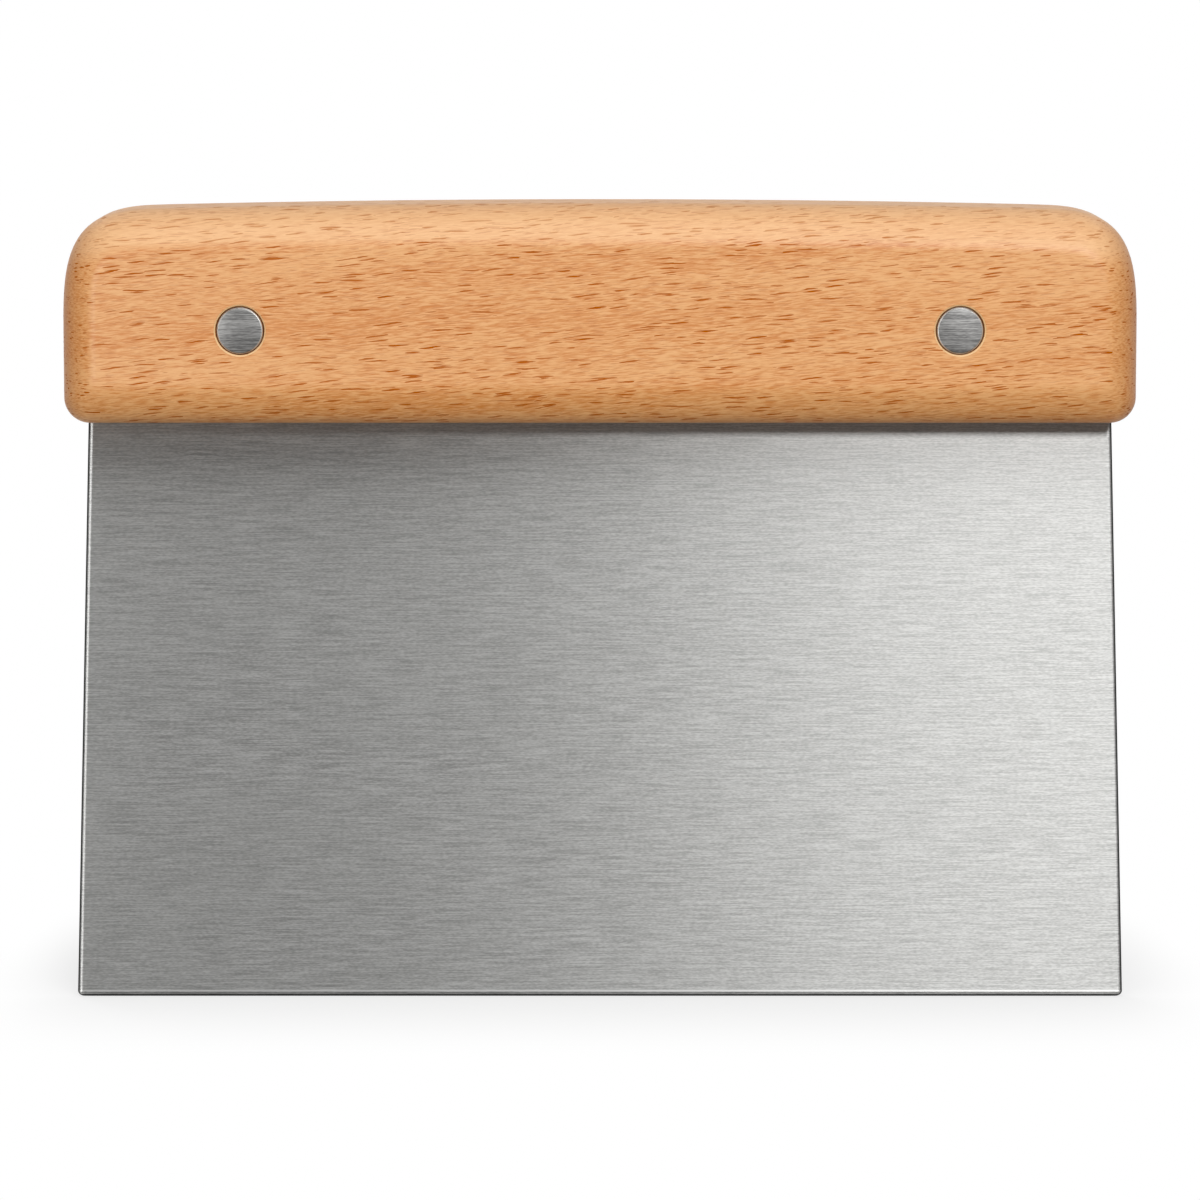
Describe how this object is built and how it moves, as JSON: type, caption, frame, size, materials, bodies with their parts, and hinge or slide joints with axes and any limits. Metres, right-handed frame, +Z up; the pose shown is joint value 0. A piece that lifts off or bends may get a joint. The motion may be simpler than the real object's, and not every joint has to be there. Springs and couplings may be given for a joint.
{
  "type": "dough scraper",
  "caption": "Bench scraper: a flat stainless blade, slightly flared to its straight edge, let into a rounded beech handle and riveted through it.",
  "frame": {"origin": "middle of the working edge, on the surface that the scraper stands on", "axes": "+X along the working edge and the handle, +Y to the back, so the front with the socket heads faces -Y, +Z up from the edge to the handle"},
  "size_m": [0.153, 0.022, 0.1156],
  "materials": {
    "beech": "steamed beech, sanded smooth and oiled, grain along the handle with short dark flecks",
    "blade_steel": "stainless sheet, brushed along the working edge, with a plain ground edge",
    "rivet_steel": "stainless rivet heads, linished flush, with a rounded bright rim"
  },
  "bodies": {
    "root": {"handle": "beech", "blade": "blade_steel", "rivet_socket_left": "rivet_steel", "rivet_pin_left": "rivet_steel", "rivet_socket_right": "rivet_steel", "rivet_pin_right": "rivet_steel"}
  },
  "joints": []
}
